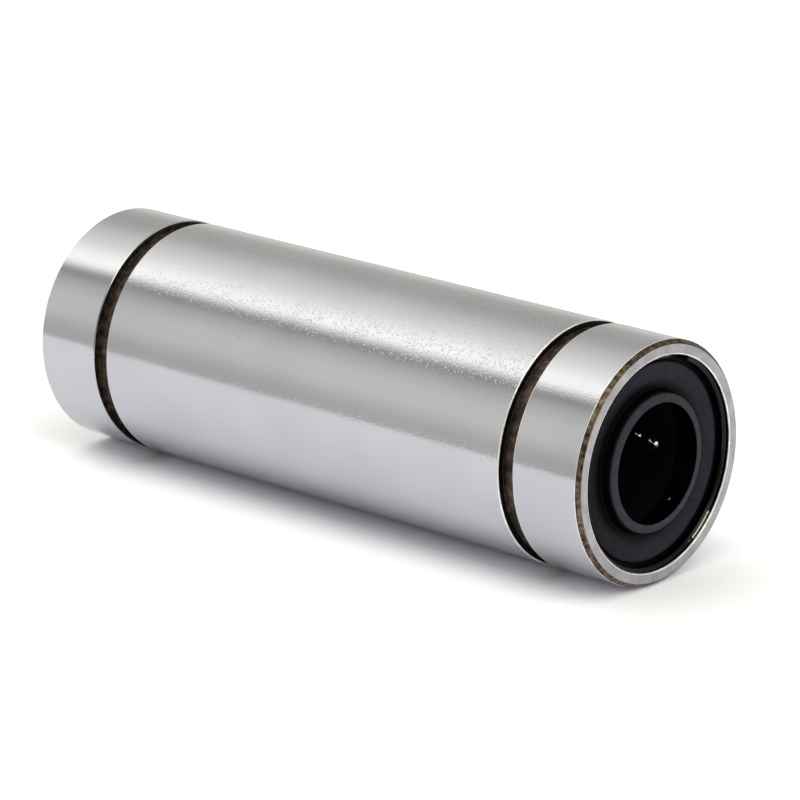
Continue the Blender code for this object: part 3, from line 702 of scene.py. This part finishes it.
def make_sleeve(finishes):
    """Ground sleeve: outside with its ring grooves, end faces, and bore with raceways.

    The bore is nearer to the axis on the four raceway lands, so its columns of
    vertices take the land's outline within the half angle of a land's middle and the
    recess's outline elsewhere, with a pair of columns close together at each edge.
    """
    # edge is the finish of rounded corners that are drawn as painted highlight lines
    barrel, groove, wall, chamfer, face, bore, edge = range(7)
    groove_front = HALF_LENGTH - COLLAR_WIDTH
    groove_rear = groove_front - GROOVE_WIDTH
    floor = OUTER_RADIUS - GROOVE_DEPTH
    chamfer_end = HALF_LENGTH - END_CHAMFER
    outside = [
        (HALF_LENGTH, OUTER_RADIUS - END_CHAMFER, INNER_ROUNDING, chamfer, chamfer),
        (chamfer_end, OUTER_RADIUS, CHAMFER_EDGE_ROUNDING, edge, barrel),
        (groove_front, OUTER_RADIUS, GROOVE_EDGE_ROUNDING, edge, wall),
        (groove_front, floor, INNER_ROUNDING, groove, groove),
        (groove_rear, floor, INNER_ROUNDING, groove, wall),
        (groove_rear, OUTER_RADIUS, GROOVE_EDGE_ROUNDING, edge, barrel),
    ]
    # The edges of the rear groove get no painted highlight, and its far wall is as its floor
    outside_rear = [
        (-groove_rear, OUTER_RADIUS, GROOVE_EDGE_ROUNDING, barrel, wall),
        (-groove_rear, floor, INNER_ROUNDING, groove, groove),
        (-groove_front, floor, INNER_ROUNDING, groove, groove),
        (-groove_front, OUTER_RADIUS, GROOVE_EDGE_ROUNDING, barrel, barrel),
        (-chamfer_end, OUTER_RADIUS, REAR_CHAMFER_ROUNDING, edge, chamfer),
        (-HALF_LENGTH, OUTER_RADIUS - END_CHAMFER, INNER_ROUNDING, chamfer, face),
    ]
    land_rear = RACEWAY_MIDDLE - RACEWAY_HALF_LENGTH
    land_front = RACEWAY_MIDDLE + RACEWAY_HALF_LENGTH
    shoulder = HALF_LENGTH - SHOULDER_DEPTH
    ring_front = HALF_LENGTH - RING_GROOVE_WALL
    ring_rear = ring_front - RING_GROOVE_WIDTH

    def inside(land):
        """Corners of the front half of the bore, its raceway stretch at radius land."""
        return [
            (land_rear, RELIEF_RADIUS, FINE_ROUNDING),
            (land_rear, land, INNER_ROUNDING),
            (land_front, land, INNER_ROUNDING),
            (land_front, RELIEF_RADIUS, FINE_ROUNDING),
            (shoulder, RELIEF_RADIUS, SHOULDER_ROUNDING),
            (shoulder, SEAL_SEAT_RADIUS, SHOULDER_ROUNDING),
            (ring_rear, SEAL_SEAT_RADIUS, FINE_ROUNDING),
            (ring_rear, RING_GROOVE_RADIUS, RING_GROOVE_ROUNDING),
            (ring_front, RING_GROOVE_RADIUS, RING_GROOVE_ROUNDING),
            (ring_front, SEAL_SEAT_RADIUS, FINE_ROUNDING),
            (HALF_LENGTH, SEAL_SEAT_RADIUS, SEAT_EDGE_ROUNDING),
        ]

    shell = outside + outside_rear
    outlines = [
        [corner[:3] for corner in shell] + flip_end(inside(land)) + inside(land)
        for land in (RECESS_RADIUS, RACEWAY_RADIUS)
    ]
    walls = [(bore, bore)] * (2 * len(inside(0)) - 2)
    finish_of_corner = [corner[3:] for corner in shell] + [(edge, bore)] + walls + [(edge, face)]
    middles = even_angles(CIRCUITS)
    edges = (middles[:, None] + np.array([-1, 1]) * RACEWAY_HALF_ANGLE).ravel()
    steps = (edges[:, None] + np.array([-1, 1]) * STEP_WALL_ANGLE).ravel() % (2 * np.pi)
    angles = np.unique(np.concatenate([even_angles(TURNED_COLUMNS), steps]))
    off = np.abs((angles[:, None] - middles + np.pi) % (2 * np.pi) - np.pi).min(1)
    on_land = (off < RACEWAY_HALF_ANGLE).astype(int)
    sleeve = turned_piece("ground_sleeve", outlines, angles, on_land, finishes, finish_of_corner)
    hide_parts("outer_sleeve")
    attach(sleeve, FIXED_BODY)


def seal_outline():
    """Corners of the front seal's section: place, radius, rounding, finish from there on."""
    # wet is the finish of the inside of the lip, painted near black as shade
    dry, wet = range(2)
    face = HALF_LENGTH - SEAL_FACE_DEPTH
    back = HALF_LENGTH - SEAL_BACK_DEPTH
    rebate = HALF_LENGTH - SEAL_REBATE_DEPTH
    tip = HALF_LENGTH - LIP_TIP_DEPTH
    valley = HALF_LENGTH - VALLEY_DEPTH
    core = HALF_LENGTH - CORE_RECESS_DEPTH
    return [
        (face, SEAL_FACE_RADIUS, FACE_EDGE_ROUNDING, dry),
        (rebate, SEAL_FACE_RADIUS + REBATE_SLOPE, REBATE_ROUNDING, dry),
        (rebate, SEAL_RADIUS, SEAL_EDGE_ROUNDING, dry),
        (back, SEAL_RADIUS, SEAL_EDGE_ROUNDING, dry),
        (back, CORE_OUTER_RADIUS, FINE_ROUNDING, dry),
        (core, CORE_OUTER_RADIUS, FINE_ROUNDING, dry),
        (core, CORE_INNER_RADIUS, FINE_ROUNDING, dry),
        (back, CORE_INNER_RADIUS, FINE_ROUNDING, wet),
        (back, LIP_BACK_RADIUS, SEAL_EDGE_ROUNDING, wet),
        (tip - LIP_LAND, LIP_INNER_RADIUS, SEAL_EDGE_ROUNDING, wet),
        (tip, LIP_INNER_RADIUS, SEAL_EDGE_ROUNDING, dry),
        (tip - LIP_SLOPE, LIP_OUTER_RADIUS, LIP_EDGE_ROUNDING, dry),
        (valley, VALLEY_RADIUS, VALLEY_ROUNDING, dry),
        (face, DISH_RADIUS, DISH_ROUNDING, dry),
    ]


def turn_round(piece):
    """Turn a front piece half a turn about Z, in its mesh, for the rear end."""
    piece.data.transform(Matrix.Rotation(math.pi, 4, "Z"))
    return piece


def make_seals(rubber, painted_shade):
    """Rubber seal with its raised lip at each end, oiled and painted near black as shade on the
    inside of the lip.
    """
    angles = even_angles(TURNED_COLUMNS)
    outline = seal_outline()
    finish_of_corner = [corner[3:] * 2 for corner in outline]
    picks = np.zeros(len(angles), int)
    for end in ("front", "rear"):
        seal = turned_piece(
            f"{end}_lip_seal", [outline], angles, picks, [rubber, painted_shade], finish_of_corner
        )
        if end == "rear":
            turn_round(seal)
        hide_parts(f"{end}_seal")
        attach(seal, FIXED_BODY)


def make_wire_rings(wire):
    """Open ring of round wire at each end.

    A point is at one angle along the ring and another about the wire: the wire's middle
    is a circle about X. With s the distance from a tip in wire radii, the wire's radius
    over the last one is the root of 1 - (1 - s) to the power 4, which rounds the ends.
    """
    start = RING_GAP_MIDDLE + RING_GAP_ANGLE / 2
    end_angle = WIRE_RADIUS / RING_RADIUS
    # The stations lie closer together towards the ends
    share = np.sin(np.linspace(-1, 1, WIRE_STATIONS) * np.pi / 2) / 2 + 0.5
    along = start + share * (2 * np.pi - RING_GAP_ANGLE)
    from_end = np.minimum(along - along[0], along[-1] - along) / end_angle
    swell = np.sqrt(1 - (1 - np.clip(from_end, 0, 1)) ** 4)
    about = even_angles(WIRE_SIDES)
    radial = RING_RADIUS + WIRE_RADIUS * swell[1:-1, None] * np.cos(about)
    x = HALF_LENGTH - RING_DEPTH + WIRE_RADIUS * swell[1:-1, None] * np.sin(about)
    angle = along[1:-1, None]
    tube = np.stack([x, radial * np.cos(angle), radial * np.sin(angle)], 2)
    tips = [
        [HALF_LENGTH - RING_DEPTH, RING_RADIUS * math.cos(a), RING_RADIUS * math.sin(a)]
        for a in (along[0], along[-1])
    ]
    vertices = np.concatenate([tube.reshape(-1, 3), np.array(tips)])
    rings, sides = tube.shape[:2]
    faces = grid_faces(rings, sides, False, True).tolist()
    first, last = rings * sides, rings * sides + 1
    side = np.arange(sides)
    after = (side + 1) % sides
    base = (rings - 1) * sides
    faces += np.stack([np.full(sides, first), side, after], 1).tolist()
    faces += np.stack([np.full(sides, last), base + after, base + side], 1).tolist()
    for end in ("front", "rear"):
        ring = new_piece(f"{end}_snap_ring", vertices, faces, None, [wire])
        if end == "rear":
            turn_round(ring)
        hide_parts(f"{end}_wire_ring")
        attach(ring, FIXED_BODY)


def ball_surface(centres):
    """Vertices and faces of a ball at each centre.

    A ball is a grid of two angles, one down from its pole on the +X side and one around
    X: centre + radius * (cos down, sin down cos around, sin down sin around), with one
    vertex at each pole.
    """
    parallels = (np.arange(BALL_ROWS - 1) + 1) * np.pi / BALL_ROWS
    down, around = np.meshgrid(parallels, even_angles(BALL_COLUMNS), indexing="ij")
    across = np.sin(down)
    grid = np.stack([np.cos(down), across * np.cos(around), across * np.sin(around)], 2)
    grid = grid.reshape(-1, 3)
    unit = np.concatenate([grid, [[1, 0, 0], [-1, 0, 0]]])
    quads = grid_faces(BALL_ROWS - 1, BALL_COLUMNS, False, True)
    side = np.arange(BALL_COLUMNS)
    after = (side + 1) % BALL_COLUMNS
    base = (BALL_ROWS - 2) * BALL_COLUMNS
    top = np.stack([np.full(BALL_COLUMNS, len(grid)), side, after], 1)
    bottom = np.stack([np.full(BALL_COLUMNS, len(grid) + 1), base + after, base + side], 1)
    vertices = centres[:, None, :] + BALL_RADIUS * unit[None, :, :]
    faces = []
    for shift in np.arange(len(centres)) * len(unit):
        faces += (quads + shift).tolist() + (top + shift).tolist() + (bottom + shift).tolist()
    return vertices, faces


def node_middle(name):
    """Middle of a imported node's box."""
    low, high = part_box(name)
    return np.array((low + high) / 2)


def make_balls(steel):
    """Balls of each group, on the body that carries them.

    A row lies along X about the middle of its node. The balls of a half turn lie at
    even steps about the axis of the group's hinge, on the side away from the rows.
    """
    row = (np.arange(BALLS_PER_ROW) - (BALLS_PER_ROW - 1) / 2) * BALL_PITCH
    fan = (np.arange(BALLS_PER_TURN) - (BALLS_PER_TURN - 1) / 2) * np.pi / BALLS_PER_TURN
    hinges = {joint["child"]: joint for joint in frame["joints"] if joint["type"] == "hinge"}
    for end in ("front", "rear"):
        for number in range(1, CIRCUITS + 1):
            for group in ("load", "return", "outer_turn", "inner_turn"):
                node = f"{end}_{group}_balls_{number}"
                if node in hinges:
                    pivot = np.array(hinges[node]["pos_m"])
                    outward = np.array(hinges[node]["axis"])
                    ahead = np.array([np.sign(node_middle(node)[0] - pivot[0]), 0.0, 0.0])
                    sideways = np.cross(outward, ahead)
                    centres = pivot + TURN_RADIUS * (
                        np.cos(fan)[:, None] * ahead + np.sin(fan)[:, None] * sideways
                    )
                else:
                    centres = node_middle(node) + row[:, None] * np.array([1.0, 0.0, 0.0])
                vertices, faces = ball_surface(centres)
                balls = new_piece(f"{node}_lapped", vertices, faces, None, [steel])
                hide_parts(node)
                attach(balls, node)


def dress_nodes(resin, strip):
    """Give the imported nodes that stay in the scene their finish."""
    for end in ("front", "rear"):
        for name, finish in ((f"{end}_retainer", resin), (f"{end}_seal_core", strip)):
            node = frame["nodes"][name]
            node.data.materials.clear()
            node.data.materials.append(finish)


def make_camera():
    """Camera at the photograph's viewing angle, looking at the aim point."""
    back = Vector((
        math.sin(CAMERA_AZIMUTH) * math.cos(CAMERA_ELEVATION),
        -math.cos(CAMERA_AZIMUTH) * math.cos(CAMERA_ELEVATION),
        math.sin(CAMERA_ELEVATION),
    ))
    data = bpy.data.cameras.new("camera")
    data.lens = CAMERA_LENS
    data.sensor_width = CAMERA_SENSOR
    data.clip_start = CAMERA_NEAR
    camera = bpy.data.objects.new("camera", data)
    bpy.context.scene.collection.objects.link(camera)
    camera.location = CAMERA_AIM + back * CAMERA_DISTANCE
    camera.rotation_euler = back.to_track_quat("Z", "Y").to_euler()
    bpy.context.scene.camera = camera


def background_rays(tree, mirrored_share=1.0):
    """Socket that is 1 for rays that show the background.

    Those are all camera rays, and mirrored_share of the glossy and transmission rays.
    """
    rays = add(tree, "LightPath").outputs
    through = {0: rays["Is Glossy Ray"], 1: rays["Is Transmission Ray"]}
    mirrored = add(tree, "Math", through, operation="MAXIMUM")
    kept = {0: mirrored.outputs[0], 1: mirrored_share}
    share = add(tree, "Math", kept, operation="MULTIPLY")
    shows = {0: rays["Is Camera Ray"], 1: share.outputs[0]}
    return add(tree, "Math", shows, operation="MAXIMUM").outputs[0]


def make_floor():
    """White table that the bearing lies on, which ends outside the view in front.

    Rays that show the background see it whiter, by FLOOR_LIFT, than it lights the
    bearing, and it keeps the shadow.
    """
    half = FLOOR_LENGTH / 2
    along = [-half, half, half, -half]
    across = [FLOOR_FRONT, FLOOR_FRONT, FLOOR_BACK, FLOOR_BACK]
    vertices = np.column_stack([along, across, np.full(4, -OUTER_RADIUS)])
    material = bpy.data.materials.new("white_studio_sweep")
    material.use_nodes = True
    tree = material.node_tree
    tree.nodes.clear()
    plain = add(tree, "BsdfDiffuse", {"Color": linear(FLOOR_COLOUR)})
    lift = add(tree, "BsdfDiffuse", {"Color": (FLOOR_LIFT, FLOOR_LIFT, FLOOR_LIFT, 1.0)})
    both = add(tree, "AddShader", {0: plain.outputs[0], 1: lift.outputs[0]})
    mixed = add(tree, "MixShader", {
        0: background_rays(tree), 1: plain.outputs[0], 2: both.outputs[0],
    })
    add(tree, "OutputMaterial", {"Surface": mixed.outputs[0]})
    floor = new_piece("studio_floor", vertices, [[0, 1, 2, 3]], None, [material])


def make_studio():
    """Surroundings that glow softly, with a long bright strip overhead in front.

    The brightness follows the angle about the X axis, so the sleeve shows it as long
    bands, and changes along X: what the sleeve mirrors to the camera lies to the left,
    and the strip is at its brightest overhead. The camera sees plain white, and so do
    mirrors where they look down past the table; higher up they see the glow.
    """
    world = bpy.data.worlds.new("studio")
    bpy.context.scene.world = world
    world.use_nodes = True
    tree = world.node_tree
    tree.nodes.clear()
    axes = add(tree, "SeparateXYZ", {"Vector": add(tree, "TexCoord").outputs["Generated"]})
    front = add(tree, "Math", {0: axes.outputs["Y"], 1: -1.0}, operation="MULTIPLY")
    angle = add(tree, "Math", {0: axes.outputs["Z"], 1: front.outputs[0]}, operation="ARCTAN2")
    # From -pi to pi becomes from 0 to 1
    turn = {0: angle.outputs[0], 1: 0.5 / math.pi, 2: 0.5}
    share = add(tree, "Math", turn, operation="MULTIPLY_ADD")
    brightness = 0.0
    for stops, begins, full in STUDIO_GLOWS:
        ramp = add(tree, "ValToRGB", {"Fac": share.outputs[0]})
        elements = ramp.color_ramp.elements
        while len(elements) < len(stops):
            elements.new(0.5)
        for element, (degrees, glow) in zip(elements, stops):
            element.position = degrees / 360 + 0.5
            element.color = (*[glow / GLOW_SCALE] * 3, 1.0)
        blend = add(tree, "MapRange", {
            "Value": axes.outputs["X"], "From Min": begins - GLOW_STEP, "From Max": full,
        })
        mixed = add(tree, "Mix", {
            "Factor": blend.outputs[0], "A": brightness, "B": ramp.outputs[0],
        })
        brightness = mixed.outputs[0]
    strength = add(tree, "Math", {0: brightness, 1: GLOW_SCALE}, operation="MULTIPLY")
    surroundings = add(tree, "Background", {
        "Color": linear(GLOW_COLOUR), "Strength": strength.outputs[0],
    })
    white = add(tree, "Background", {"Color": (1, 1, 1, 1), "Strength": 1.0})
    low = add(tree, "Math", {0: axes.outputs["Z"], 1: BACKGROUND_TOP}, operation="LESS_THAN")
    shown = background_rays(tree, low.outputs[0])
    seen = add(tree, "MixShader", {0: shown, 1: surroundings.outputs[0], 2: white.outputs[0]})
    add(tree, "OutputWorld", {"Surface": seen.outputs[0]})


make_camera()
make_sleeve([
    ground_steel(),
    # Groove floors: dark brown with scale, and dull
    mottled(
        "oxidised_groove_steel", "#1E1A16", "#3A322A", "#5C4C44",
        patch=0.6 * MM, roughness=0.45, metallic=0.7, bump=0.004 * MM,
    ),
    # Groove walls: oxide, made nearly black and darker than the floors as painted shade
    mottled(
        "groove_wall_steel_oxide_and_painted_shade", "#080707", "#0E0C0A", "#1C1815",
        patch=0.6 * MM, roughness=0.5, metallic=0.6, bump=0.004 * MM,
    ),
    # Chamfers: temper colours from straw to dark red-brown
    mottled(
        "blued_chamfer_steel", "#301C1A", "#564A3C", "#7A735C",
        patch=0.35 * MM, roughness=0.35, metallic=0.9, bump=0.003 * MM,
    ),
    faced_steel(),
    bore_steel(),
    # Rounded edges: drawn near white as painted highlight lines
    edge_highlight_steel(),
])
make_seals(seal_rubber(), shaded_lip_rubber())
make_wire_rings(spring_wire())
make_balls(ball_steel())
dress_nodes(retainer_resin(), stamped_steel())
make_floor()
make_studio()
bpy.context.scene.view_settings.view_transform = "Standard"
